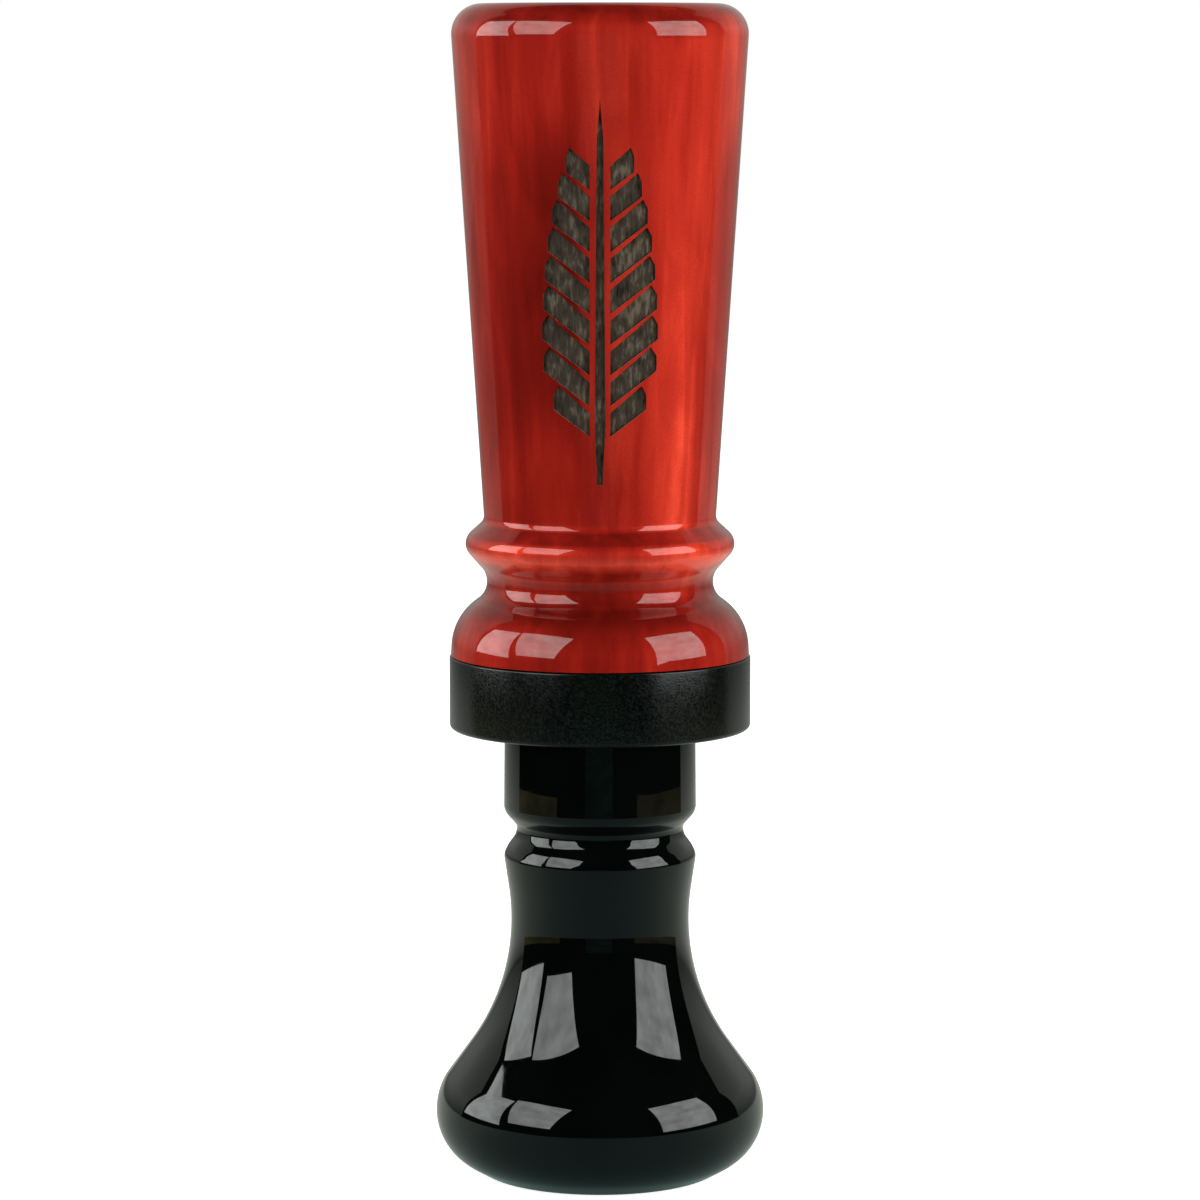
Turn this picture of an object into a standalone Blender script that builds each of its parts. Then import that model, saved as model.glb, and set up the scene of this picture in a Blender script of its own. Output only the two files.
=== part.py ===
"""A duck call: a barrel with a band round its foot, plugged onto a flared insert that holds the
toneboard, the reed and the cork wedge. Metres, +Z up. It stands on the insert's bell with the
mouthpiece on top, its axis is the Z axis, and the reed faces -Y."""

import math

import bmesh
import bpy
from mathutils import Matrix, Vector

# Driving dimensions
GAP = 0.0003  # left between pieces that touch
SHOULDER_HEIGHT = 0.04735  # the insert below the barrel
BARREL_LENGTH = 0.07595
BAND_RADIUS = 0.015875
BAND_LENGTH = 0.00790
BORE_RADIUS = 0.00795  # through the barrel
TENON_RADIUS = 0.0076
TENON_LENGTH = 0.01865
EXHAUST_RADIUS = 0.0042  # through the insert
SEAT_RADIUS = 0.0050  # holds the toneboard and the wedge
SEAT_DEPTH = 0.0150
TONEBOARD_RADIUS = 0.00485
TONEBOARD_LENGTH = 0.0574
REED_THICKNESS = 0.00025
REED_CLEARANCE = 0.00006  # on each face of the reed, between the toneboard and the wedge

# Places worked out from them
TENON_TOP = SHOULDER_HEIGHT + TENON_LENGTH
SEAT_LEDGE = TENON_TOP - SEAT_DEPTH
BARREL_FOOT = SHOULDER_HEIGHT + GAP
TONEBOARD_HEEL = SEAT_LEDGE + GAP

# Fineness of the turned pieces
TURN_STEPS = 40
ARC_TOLERANCE = 0.00003  # between a fillet's arc and its chords

# Barrel and band, as (radius, height above the barrel's foot, fillet)
SPIGOT_RADIUS = 0.0132
SPIGOT_FILLET = 0.0002
BORE_FILLET = 0.0006
MOUTH_RADIUS = 0.0110
MOUTH_DEPTH = 0.0030
MOUTH_FILLET = 0.0015
THROAT_FILLET = 0.0025  # where the mouth's cone meets the bore
BARREL_OUTSIDE = [
    (0.01570, BARREL_LENGTH, 0.00315),
    (0.01218, 0.02215, 0.00100),
    (0.01465, 0.01970, 0.00123),
    (0.01087, 0.01531, 0.00246),
    (0.01527, 0.01173, 0.00520),
    (0.01577, BAND_LENGTH + GAP / 2, 0.0),
]
BAND_TOP_FILLET = 0.0001
BAND_FOOT_FILLET = 0.0005

# Insert below its shoulder, as (radius, height above the base, fillet)
STEM_RADIUS = 0.0101
INSERT_OUTSIDE = [
    (STEM_RADIUS, SHOULDER_HEIGHT, 0.00015),
    (0.01020, 0.03885, 0.00185),
    (0.00845, 0.03719, 0.00120),
    (0.01020, 0.03427, 0.00168),
    (0.00835, 0.02157, 0.02270),
    (0.01769, 0.00833, 0.00620),
    (0.01706, 0.00258, 0.00640),
    (0.01232, 0.0, 0.00200),
    (0.00940, 0.0, 0.00060),
]
FLARE_HEIGHT = 0.0130  # of the bell's inside, where the exhaust bore starts
FLARE_FILLET = 0.0150
TENON_FILLET = 0.0004
SEAT_FILLET = 0.0003

# O-rings and their grooves in the tenon
O_RING_SECTION = 0.00075
O_RING_MIDDLE = 0.0070
O_RING_HEIGHTS = {"o_ring_lower": 0.0530, "o_ring_upper": 0.0610}
O_RING_SIDES = 8
GROOVE_RADIUS = 0.0061
GROOVE_HALF_WIDTH = 0.00095

# Toneboard, with heights above its heel
FACE_CURVE_START = 0.0210
TIP_OPENING = 0.0015
TIP_ROUNDING = 0.0020
TIP_TAPER = 0.16
TIP_STATIONS = 3
STATION_SPACING = 0.0030
BACK_STEPS = 14
CHANNEL_WIDTH = 0.0045
CHANNEL_SIDE = [  # (depth from the flat face, height) of its floor, heel to tip
    (0.0032, -0.001),
    (0.0030, 0.0200),
    (0.0024, 0.0420),
    (-0.0010, 0.0490),
]
CHANNEL_MOUTH_DEPTH = -0.0010  # the cutter starts this far in front of the flat face

# Reed and wedge, with heights above the toneboard's heel
REED_WIDTH = 0.0093
REED_LENGTH = 0.0570
REED_CORNER = 0.0016
REED_FULCRUM = 0.0176
WEDGE_LENGTH = 0.0173
WEDGE_SLOPE = math.radians(28)
WEDGE_RADIUS = 0.00485


def clear_scene():
    for obj in list(bpy.data.objects):
        bpy.data.objects.remove(obj)


def material(name, colour, roughness, metallic=0.0):
    made = bpy.data.materials.new(name)
    made.use_nodes = True
    made.diffuse_color = (*colour, 1)
    shader = made.node_tree.nodes["Principled BSDF"]
    shader.inputs["Base Color"].default_value = (*colour, 1)
    shader.inputs["Roughness"].default_value = roughness
    shader.inputs["Metallic"].default_value = metallic
    return made


def add_object(name, bm, made_of, location=(0, 0, 0), parent=None):
    """An object from a closed bmesh, placed in its parent's frame."""
    bmesh.ops.recalc_face_normals(bm, faces=bm.faces)
    if bm.calc_volume(signed=True) < 0:
        bmesh.ops.reverse_faces(bm, faces=bm.faces)
    mesh = bpy.data.meshes.new(name)
    bm.to_mesh(mesh)
    bm.free()
    mesh.shade_smooth()
    mesh.set_sharp_from_angle(angle=math.radians(30))
    mesh.materials.append(made_of)
    obj = bpy.data.objects.new(name, mesh)
    obj.location = location
    obj.parent = parent
    bpy.context.collection.objects.link(obj)
    return obj


def fillet_arc(before, corner, after, radius):
    """Points of the arc that rounds a corner between two straight sides."""
    if radius == 0:
        return [corner]
    back = (before - corner).normalized()
    ahead = (after - corner).normalized()
    half = back.angle(ahead) / 2
    centre = corner + (back + ahead).normalized() * radius / math.sin(half)
    start = corner + back * radius / math.tan(half) - centre
    end = corner + ahead * radius / math.tan(half) - centre
    turn = math.copysign(math.pi - 2 * half, start.cross(end))
    widest_step = 2 * math.acos(1 - ARC_TOLERANCE / radius)
    steps = math.ceil(abs(turn) / widest_step)
    return [centre + Matrix.Rotation(turn * i / steps, 2) @ start for i in range(steps + 1)]


def rounded_loop(corners):
    """Points of a closed outline of (radius, height, fillet) corners."""
    points = []
    for i, (x, z, fillet) in enumerate(corners):
        before = Vector(corners[i - 1][:2])
        after = Vector(corners[(i + 1) % len(corners)][:2])
        points += fillet_arc(before, Vector((x, z)), after, fillet)
    return points


def turned(points):
    """The ring that a closed outline of (radius, height) points sweeps round the Z axis."""
    bm = bmesh.new()
    loop = [bm.verts.new((x, 0, z)) for x, z in points]
    edges = [bm.edges.new((loop[i - 1], loop[i])) for i in range(len(loop))]
    bmesh.ops.spin(
        bm,
        geom=loop + edges,
        axis=(0, 0, 1),
        cent=(0, 0, 0),
        angle=math.tau,
        steps=TURN_STEPS,
        use_merge=True,
    )
    return bm


def make_barrel(made_of, parent):
    bore = [
        (SPIGOT_RADIUS, BAND_LENGTH + GAP / 2, 0),
        (SPIGOT_RADIUS, 0, SPIGOT_FILLET),
        (BORE_RADIUS, 0, BORE_FILLET),
        (BORE_RADIUS, BARREL_LENGTH - MOUTH_DEPTH, THROAT_FILLET),
        (MOUTH_RADIUS, BARREL_LENGTH, MOUTH_FILLET),
    ]
    outline = rounded_loop(BARREL_OUTSIDE + bore)
    return add_object("barrel", turned(outline), made_of, (0, 0, BARREL_FOOT), parent)


def make_band(made_of, barrel):
    inside = SPIGOT_RADIUS + GAP
    top = BAND_LENGTH - GAP / 2
    outline = rounded_loop(
        [
            (inside, top, 0),
            (BAND_RADIUS, top, BAND_TOP_FILLET),
            (BAND_RADIUS, 0, BAND_FOOT_FILLET),
            (inside, 0, 0),
        ]
    )
    return add_object("band", turned(outline), made_of, parent=barrel)


def make_insert(made_of):
    tenon = [(SEAT_RADIUS, TENON_TOP, SEAT_FILLET), (TENON_RADIUS, TENON_TOP, TENON_FILLET)]
    for height in sorted(O_RING_HEIGHTS.values(), reverse=True):
        upper = height + GROOVE_HALF_WIDTH
        lower = height - GROOVE_HALF_WIDTH
        tenon += [
            (TENON_RADIUS, upper, 0),
            (GROOVE_RADIUS, upper, 0),
            (GROOVE_RADIUS, lower, 0),
            (TENON_RADIUS, lower, 0),
        ]
    tenon.append((TENON_RADIUS, SHOULDER_HEIGHT, 0))
    inside = [
        (EXHAUST_RADIUS, FLARE_HEIGHT, FLARE_FILLET),
        (EXHAUST_RADIUS, SEAT_LEDGE, 0),
        (SEAT_RADIUS, SEAT_LEDGE, 0),
    ]
    return add_object("insert", turned(rounded_loop(tenon + INSERT_OUTSIDE + inside)), made_of)


def make_o_ring(name, made_of, insert):
    turns = [math.tau * (i + 0.5) / O_RING_SIDES for i in range(O_RING_SIDES)]
    section = [
        (O_RING_MIDDLE + O_RING_SECTION * math.cos(turn), O_RING_SECTION * math.sin(turn))
        for turn in turns
    ]
    return add_object(name, turned(section), made_of, (0, 0, O_RING_HEIGHTS[name]), insert)


def face_setback(height):
    """How far the toneboard's face curves away from the reed at this height."""
    share = max(0, height - FACE_CURVE_START) / (TONEBOARD_LENGTH - FACE_CURVE_START)
    return TIP_OPENING * share**2


def toneboard_stations():
    """(height, radius of the back) along the toneboard, whose tip closes in on an ellipse."""
    straight = TONEBOARD_LENGTH - TIP_ROUNDING
    count = round(straight / STATION_SPACING)
    stations = [(straight * i / count, TONEBOARD_RADIUS) for i in range(count + 1)]
    for i in range(1, TIP_STATIONS + 1):
        turn = math.pi / 2 * i / TIP_STATIONS
        shrunk = TONEBOARD_RADIUS * (1 - TIP_TAPER * (1 - math.cos(turn)))
        stations.append((straight + TIP_ROUNDING * math.sin(turn), shrunk))
    return stations


def segment_outline(radius, face):
    """The round side of a circle's segment behind the plane y = face, from +X to -X."""
    start = math.asin(face / radius)
    span = math.pi - 2 * start
    angles = [start + span * i / BACK_STEPS for i in range(BACK_STEPS + 1)]
    return [(radius * math.cos(angle), radius * math.sin(angle)) for angle in angles]


def lofted(sections):
    """A closed solid through (height, outline) sections of equally many points."""
    bm = bmesh.new()
    rings = [[bm.verts.new((x, y, z)) for x, y in outline] for z, outline in sections]
    for lower, upper in zip(rings, rings[1:]):
        for i in range(len(lower)):
            bm.faces.new((lower[i - 1], lower[i], upper[i], upper[i - 1]))
    bm.faces.new(reversed(rings[0]))
    bm.faces.new(rings[-1])
    return bm


def make_channel_cutter(toneboard):
    """The sound channel: open at the heel, with a floor that slopes up to the face."""
    side = [(CHANNEL_MOUTH_DEPTH, CHANNEL_SIDE[0][1])] + CHANNEL_SIDE
    bm = bmesh.new()
    first = bm.faces.new([bm.verts.new((-CHANNEL_WIDTH / 2, y, z)) for y, z in side])
    grown = bmesh.ops.extrude_face_region(bm, geom=[first])
    moved = [item for item in grown["geom"] if isinstance(item, bmesh.types.BMVert)]
    bmesh.ops.translate(bm, verts=moved, vec=(CHANNEL_WIDTH, 0, 0))
    cutter = add_object("channel_cutter", bm, toneboard.data.materials[0], parent=toneboard)
    cutter.hide_render = True
    cutter.display_type = "WIRE"
    return cutter


def make_toneboard(made_of, insert):
    sections = [(z, segment_outline(radius, face_setback(z))) for z, radius in toneboard_stations()]
    obj = add_object("toneboard", lofted(sections), made_of, (0, 0, TONEBOARD_HEEL), insert)
    cut = obj.modifiers.new("channel", "BOOLEAN")
    cut.operation = "DIFFERENCE"
    cut.object = make_channel_cutter(obj)
    return obj


def make_reed(made_of, toneboard):
    """A film strip with its tip's corners cut off. Its origin is where it starts to bend."""
    half = REED_WIDTH / 2
    foot = -REED_FULCRUM
    tip = foot + REED_LENGTH
    outline = [
        (-half, foot),
        (half, foot),
        (half, tip - REED_CORNER),
        (half - REED_CORNER, tip),
        (REED_CORNER - half, tip),
        (-half, tip - REED_CORNER),
    ]
    bm = bmesh.new()
    flat = bm.faces.new([bm.verts.new((x, -REED_THICKNESS / 2, z)) for x, z in outline])
    grown = bmesh.ops.extrude_face_region(bm, geom=[flat])
    moved = [item for item in grown["geom"] if isinstance(item, bmesh.types.BMVert)]
    bmesh.ops.translate(bm, verts=moved, vec=(0, REED_THICKNESS, 0))
    middle = -REED_CLEARANCE - REED_THICKNESS / 2
    return add_object("reed", bm, made_of, (0, middle, REED_FULCRUM), toneboard)


def make_wedge(made_of, toneboard):
    """The half-round in front of the reed, cut at a slope on top."""
    face = REED_THICKNESS + 2 * REED_CLEARANCE
    outline = [(-x, -y) for x, y in segment_outline(WEDGE_RADIUS, face)]
    bm = lofted([(0, outline), (WEDGE_LENGTH, outline)])
    cut = bmesh.ops.bisect_plane(
        bm,
        geom=bm.verts[:] + bm.edges[:] + bm.faces[:],
        plane_co=(0, -face, WEDGE_LENGTH),
        plane_no=(0, -math.sin(WEDGE_SLOPE), math.cos(WEDGE_SLOPE)),
        clear_outer=True,
    )
    rim = [item for item in cut["geom_cut"] if isinstance(item, bmesh.types.BMEdge)]
    bmesh.ops.contextual_create(bm, geom=rim)
    return add_object("wedge", bm, made_of, parent=toneboard)


def build():
    clear_scene()
    red_acrylic = material("red_pearl_acrylic", (0.45, 0.02, 0.012), 0.12, 0.2)
    black_band = material("black_anodised", (0.012, 0.013, 0.012), 0.5, 0.6)
    black_acrylic = material("black_acrylic", (0.003, 0.004, 0.004), 0.06)
    smoke_plastic = material("smoke_polycarbonate", (0.05, 0.05, 0.055), 0.15)
    reed_film = material("reed_film", (0.75, 0.76, 0.74), 0.3)
    cork = material("cork", (0.42, 0.25, 0.12), 0.85)
    rubber = material("o_ring_rubber", (0.012, 0.012, 0.012), 0.55)
    insert = make_insert(black_acrylic)
    barrel = make_barrel(red_acrylic, insert)
    make_band(black_band, barrel)
    for name in O_RING_HEIGHTS:
        make_o_ring(name, rubber, insert)
    toneboard = make_toneboard(smoke_plastic, insert)
    make_reed(reed_film, toneboard)
    make_wedge(cork, toneboard)


build()
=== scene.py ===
import math

import bmesh
import bpy
from mathutils import Matrix, Vector, noise


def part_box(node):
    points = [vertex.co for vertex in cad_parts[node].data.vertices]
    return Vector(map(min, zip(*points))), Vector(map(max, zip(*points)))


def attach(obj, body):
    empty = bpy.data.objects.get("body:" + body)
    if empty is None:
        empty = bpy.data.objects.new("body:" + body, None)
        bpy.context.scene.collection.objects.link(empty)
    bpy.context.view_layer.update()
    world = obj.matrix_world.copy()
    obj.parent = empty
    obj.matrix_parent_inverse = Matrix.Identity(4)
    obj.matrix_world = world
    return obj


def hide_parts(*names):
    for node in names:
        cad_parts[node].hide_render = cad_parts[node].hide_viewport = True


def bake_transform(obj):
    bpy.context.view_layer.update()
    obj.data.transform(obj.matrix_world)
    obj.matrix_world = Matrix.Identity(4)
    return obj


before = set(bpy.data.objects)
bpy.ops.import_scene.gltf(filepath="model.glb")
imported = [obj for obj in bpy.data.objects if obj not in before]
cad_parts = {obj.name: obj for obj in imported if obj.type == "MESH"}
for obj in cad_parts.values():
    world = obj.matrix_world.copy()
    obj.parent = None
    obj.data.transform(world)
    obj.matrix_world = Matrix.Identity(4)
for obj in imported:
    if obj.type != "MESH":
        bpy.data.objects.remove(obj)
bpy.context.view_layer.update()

# The frame's places
BARREL_LOW, BARREL_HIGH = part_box("barrel")
BAND_LOW, BAND_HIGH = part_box("band")
TONEBOARD_LOW, TONEBOARD_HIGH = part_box("toneboard")
REED_LOW, REED_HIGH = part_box("reed")
WEDGE_LOW, WEDGE_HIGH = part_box("wedge")
RING_BOXES = {name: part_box(name) for name in ("o_ring_lower", "o_ring_upper")}

BARREL_FOOT = BARREL_LOW.z
BARREL_LENGTH = BARREL_HIGH.z - BARREL_LOW.z
BAND_RADIUS = BAND_HIGH.x
BAND_LENGTH = BAND_HIGH.z - BAND_LOW.z
TENON_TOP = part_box("insert")[1].z

# Fineness of the turned pieces
TURN_STEPS = 256
ARC_TOLERANCE = 0.000002
SHARP_ANGLE = math.radians(32)
FACE_GAP = 0.00005  # half of the fine line between two pieces that meet
MERGE_DISTANCE = 0.0000005

# Barrel, as (radius, height above its foot, fillet)
BORE_RADIUS = 0.00795
SPIGOT_RADIUS = 0.0132
MOUTH_RADIUS = 0.0110
CONE_TOP = (0.01570, BARREL_LENGTH)
CONE_FOOT = (0.01219, 0.02205)
BARREL_OUTSIDE = [
    (*CONE_TOP, 0.00315),
    (*CONE_FOOT, 0.00114),
    (0.01480, 0.01967, 0.00159),
    (0.01253, 0.01714, 0.00061),
    (0.01079, 0.01517, 0.00236),
    (0.01552, 0.01174, 0.00613),
    (0.01574, BAND_LENGTH + FACE_GAP, 0.0),
]
BARREL_INSIDE = [
    (SPIGOT_RADIUS, BAND_LENGTH + FACE_GAP, 0),
    (SPIGOT_RADIUS, 0, 0.0002),
    (BORE_RADIUS, 0, 0.0006),
    (BORE_RADIUS, BARREL_LENGTH - 0.0030, 0.0025),
    (MOUTH_RADIUS, BARREL_LENGTH, 0.0015),
]

# Insert below its shoulder, as (radius, height, fillet)
SHOULDER_HEIGHT = BARREL_FOOT - 2 * FACE_GAP
STEM_RADIUS = 0.0101
INSERT_OUTSIDE = [
    (STEM_RADIUS, SHOULDER_HEIGHT, 0.00030),
    (0.01018, 0.03883, 0.00154),
    (0.00869, 0.03717, 0.00100),
    (0.00902, 0.03606, 0.00168),
    (0.00976, 0.03505, 0.00347),
    (0.01020, 0.03413, 0.00130),
    (0.00829, 0.02135, 0.02301),
    (0.01769, 0.00844, 0.00663),
    (0.01704, 0.00268, 0.00629),
    (0.01232, 0.0, 0.00200),
    (0.00940, 0.0, 0.00060),
]
TENON_RADIUS = 0.0076
TENON_EDGE = 0.0004
TENON_CORNER = 0.0002  # where it meets the shoulder
SEAT_RADIUS = 0.0050
SEAT_EDGE = 0.0003
SEAT_LEDGE = TONEBOARD_LOW.z - 0.0003
EXHAUST_RADIUS = 0.0042
EXHAUST_FLARE_HEIGHT = 0.0130
EXHAUST_FLARE_FILLET = 0.0150
GROOVE_RADIUS = 0.0061
GROOVE_HALF_WIDTH = 0.00095
GROOVE_LIP = 0.00008
GROOVE_CORNER = 0.00012

# Band and O-rings
BAND_TOP_EDGE = 0.00018
BAND_FOOT_EDGE = 0.0005
BAND_INNER_EDGE = 0.0001
RING_SIDES = 24
RING_TURN_STEPS = 128
CAD_RING_SIDES = 8

# The engraved feather: slanted barbs either side of a quill, above the barrel's foot
ENGRAVED = 1  # the barrel's material slot for the engraved faces
ENGRAVING_DEPTH = 0.00035
ENGRAVED_RIM = (0.30, 0.28, 0.24, 1)
FEATHER_FOOT = 0.0268
FEATHER_TOP = 0.0662
FEATHER_HALF_WIDTH = 0.0060
FEATHER_MARGIN = 0.003  # of the cutter past the feather
PRISM_START = -0.020
PRISM_DEPTH = 0.012
CORE_RADIUS = 0.002
QUILL_HALF_WIDTH = 0.00055
QUILL_SWELL = 0.006  # its widest place, above its foot
QUILL_POINT = 0.004
BARB_GAP = 0.00050
BARB_COUNT = 9
BARBS_START = 0.0050  # above the feather's foot
BARBS_STOP = 0.0060  # below its top
BARB_THICKNESS = 0.00245
BARB_RISE = 0.75
BARB_CHAMFER = (0.90, 0.62)  # where it starts, as shares of the barb's reach and thickness
SLOPE_TOLERANCE = 0.02

# Toneboard, with heights above its heel
TONEBOARD_RADIUS = 0.00485
TONEBOARD_LENGTH = TONEBOARD_HIGH.z - TONEBOARD_LOW.z
FACE_CURVE_START = 0.0210
TIP_OPENING = 0.0015
TIP_ROUNDING = 0.0020
TIP_TAPER = 0.16
STATION_SPACING = 0.0004
TIP_STEPS = 10
BACK_STEPS = 56
CHANNEL_HALF_WIDTH = 0.00225
# The channel's floor, as (height, depth under the flat face)
CHANNEL_FLOOR = [(-0.001, 0.0032), (0.0200, 0.0030), (0.0420, 0.0024), (0.0490, -0.0010)]
TONEBOARD_EDGE = 0.00012
EDGE_STEPS = 3
EDGE_TURN = 0.12  # radians that the rounded edges take off each end of the back

# Reed and wedge
REED_THICKNESS = 0.00025
REED_HALF_WIDTH = REED_HIGH.x
REED_TIP_CORNER = 0.0016
REED_FOOT_CORNER = 0.0004
REED_EDGE = 0.00006
REED_SPACING = 0.0008
WEDGE_RADIUS = 0.00485
WEDGE_FACE = 0.00037
WEDGE_SLOPE = math.radians(28)
WEDGE_STEPS = 40
CORK_VOXEL = 0.00020
CORK_PIT_DEPTH = 0.00016
CORK_BROAD_PITS = 900  # per metre
CORK_FINE_PITS = 2600

# Painted light and shade on the pearl by how the surface faces, brightest facing down as if lit from the
# floor: from 0, down, to 1, up
PAINTED_LIGHT_BY_FACING = [(0.15, 1.8), (0.45, 1.0), (0.55, 0.92), (0.75, 0.72), (0.885, 0.47), (1.0, 0.60)]
PEARL_SWAY = 0.012  # how far its bands wander, in turns round the barrel

# The pearl's level round the barrel with painted highlights of the softboxes and painted shade, as
# (azimuth in degrees from the front, level)
PEARL_AND_PAINTED_LIGHT_FOOT = [
    (-180, 0.32), (-76, 0.42), (-55, 0.42), (-42, 0.36), (-32, 0.24), (-24, 0.20),
    (-15, 0.28), (0, 0.29), (12, 0.31), (19, 0.37), (25, 0.34), (32, 0.30),
    (38, 0.29), (45, 0.38), (52, 0.45), (80, 0.36), (180, 0.32),
]
PEARL_AND_PAINTED_LIGHT_OGEE = [
    (-180, 0.32), (-55, 0.44), (-30, 0.30), (0, 0.28), (24, 0.36), (48, 0.46),
    (80, 0.36), (180, 0.32),
]
PEARL_AND_PAINTED_SHADE_COVE = [
    (-180, 0.26), (-76, 0.26), (-52, 0.33), (-30, 0.29), (-14, 0.22), (0, 0.19),
    (12, 0.21), (24, 0.30), (38, 0.38), (54, 0.37), (68, 0.29), (180, 0.26),
]
PEARL_AND_PAINTED_LIGHT_BEAD = [
    (-180, 0.52), (-76, 0.52), (-52, 0.68), (-30, 0.60), (-14, 0.50), (0, 0.46),
    (12, 0.50), (24, 0.68), (38, 0.80), (54, 0.76), (68, 0.58), (180, 0.52),
]
PEARL_AND_PAINTED_LIGHT_LOW = [
    (-180, 0.42), (-76, 0.38), (-58, 0.31), (-44, 0.26), (-28, 0.32), (-14, 0.33),
    (-3, 0.26), (6, 0.42), (12, 0.44), (17, 0.35), (24, 0.44), (31, 0.68),
    (38, 0.86), (46, 0.72), (55, 0.48), (180, 0.42),
]
PEARL_AND_PAINTED_LIGHT_MIDDLE = [
    (-180, 0.42), (-78, 0.42), (-62, 0.33), (-46, 0.23), (-30, 0.17), (-13, 0.14),
    (-3, 0.32), (8, 0.42), (22, 0.43), (38, 0.53), (56, 0.50), (74, 0.42),
    (180, 0.42),
]
PEARL_AND_PAINTED_LIGHT_TOP = [
    (-180, 0.46), (-78, 0.47), (-55, 0.40), (-38, 0.30), (-24, 0.33), (-12, 0.31),
    (-2, 0.44), (14, 0.42), (27, 0.35), (40, 0.46), (60, 0.62), (80, 0.50),
    (180, 0.46),
]
PEARL_AND_PAINTED_LIGHT_SHOULDER = [
    (-180, 0.46), (-78, 0.47), (-55, 0.40), (-38, 0.27), (-24, 0.28), (-12, 0.31),
    (-2, 0.44), (14, 0.42), (27, 0.24), (40, 0.30), (52, 0.50), (60, 0.62),
    (80, 0.50), (180, 0.46),
]
PEARL_AND_PAINTED_LIGHT_RIM = [
    (-180, 0.60), (-78, 0.75), (-53, 0.80), (-32, 0.64), (-12, 0.50), (0, 0.53),
    (12, 0.55), (27, 0.61), (40, 0.71), (53, 0.73), (80, 0.60), (180, 0.60),
]

# Those sets from the foot up, each with the heights between which it takes over
PEARL_AND_PAINTED_LIGHT_BANDS = [
    (None, PEARL_AND_PAINTED_LIGHT_FOOT),
    ((0.0585, 0.0597), PEARL_AND_PAINTED_LIGHT_OGEE),
    ((0.0612, 0.0624), PEARL_AND_PAINTED_SHADE_COVE),
    ((0.0650, 0.0664), PEARL_AND_PAINTED_LIGHT_BEAD),
    ((0.0688, 0.0706), PEARL_AND_PAINTED_LIGHT_LOW),
    ((0.0755, 0.0850), PEARL_AND_PAINTED_LIGHT_MIDDLE),
    ((0.1040, 0.1150), PEARL_AND_PAINTED_LIGHT_TOP),
    ((0.1197, 0.1206), PEARL_AND_PAINTED_LIGHT_SHOULDER),
    ((0.1219, 0.1231), PEARL_AND_PAINTED_LIGHT_RIM),
]

# The camera stands level with the mouthpiece and looks down a little
CAMERA_PLACE = (0, -0.5, 0.11928)
CAMERA_PITCH = math.radians(6.63)
CAMERA_LENS_MM = 143.2

# The studio, whose sheets lie just under the object so that none of them cuts it
FLOOR_HEIGHT = -0.0001
PAPER_HEIGHT = -0.0005
TABLE_HEIGHT = -0.0006
FILL_HEIGHT = -0.001
FLOOR_RADIUS = 2.4
FLOOR_WHITE_FROM = 0.045  # metres from the axis
# The floor's glow at the object's foot, dimmed for a painted shadow
FLOOR_GLOW_IN_PAINTED_SHADOW = 0.80
PAPER_FRONT_RADIUS = 0.21
PAPER_BACK_RADIUS = 1.25
PAPER_WALL_HEIGHT = 1.45
PAPER_WALL_AZIMUTHS = (112, 248)
# The near paper's colour by how far round behind the object, from 0 in front to 1
PAPER_NEAR = [
    (0.00, (0.130, 0.215, 0.200)),
    (0.25, (0.225, 0.315, 0.290)),
    (0.42, (0.36, 0.435, 0.395)),
    (0.64, (0.46, 0.525, 0.465)),
    (0.82, (0.57, 0.625, 0.555)),
    (0.96, (0.58, 0.61, 0.55)),
]
# The paper behind: name, azimuths and its strength from PAPER_FAR on
PAPER_BEHIND = [("paper_right", 112, 205, 0.21), ("paper_left", 205, 248, 0.14)]
# Its strength nearer by, by distance as a share of PAPER_BACK_RADIUS
PAPER_BEHIND_STRENGTH = [(0.168, 0.56), (0.24, 0.42), (0.36, 0.31)]
PAPER_FAR = 0.52
# The paper wall's strength by height, as a share of the wall's
PAPER_WALL = [(0.024, 0.22), (0.087, 0.34), (0.217, 0.50), (0.45, 0.42), (1.0, 0.30)]
PAPER_TINT = (0.94, 1.0, 0.91)
# Strips of table past the near paper: name, azimuths, outer radius and colour
TABLE_STRIPS = [
    ("table_middle", -17.5, 15, 3.0, (0.035, 0.065, 0.055)),
    ("table_left", -122, -52, 0.300, (0.22, 0.19, 0.09)),
    ("table_right", 44, 126, 0.310, (0.15, 0.13, 0.07)),
]
TABLE_MOTTLE = 0.5
# Softboxes: name, distance, strength and (azimuth, elevation) corners
SOFTBOXES = [
    ("softbox_left_inner", 0.55, 3.9, [(-67, 9.5), (-35, 9.5), (-24.5, 46), (-77.5, 43.5)]),
    ("softbox_left_outer", 0.80, 4.1, [(-110, 3.5), (-74, 3.5), (-79, 41.5), (-106, 33.5)]),
    ("softbox_right", 0.75, 4.1, [(44, 2.5), (88.5, 3.5), (91, 39), (42.5, 44.5)]),
]
SOFTBOX_COLOUR = (0.95, 1.0, 0.97)
SOFTBOX_SEEN_FROM = 0.015
SOFTBOX_MOTTLE = 0.22
MOTTLE_SCALE = 7.0
FILL_AIM = 0.08
FILL_FLOOR_STRENGTH = 0.9
WORLD_GREY = 0.006


# ---------------------------------------------------------------- mesh helpers


def solid_object(name, bm):
    """An object that holds these solids, with their faces pointing out."""
    bmesh.ops.recalc_face_normals(bm, faces=bm.faces)
    if bm.calc_volume(signed=True) < 0:
        bmesh.ops.reverse_faces(bm, faces=bm.faces)
    mesh = bpy.data.meshes.new(name)
    bm.to_mesh(mesh)
    bm.free()
    made = bpy.data.objects.new(name, mesh)
    bpy.context.collection.objects.link(made)
    return made


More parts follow.
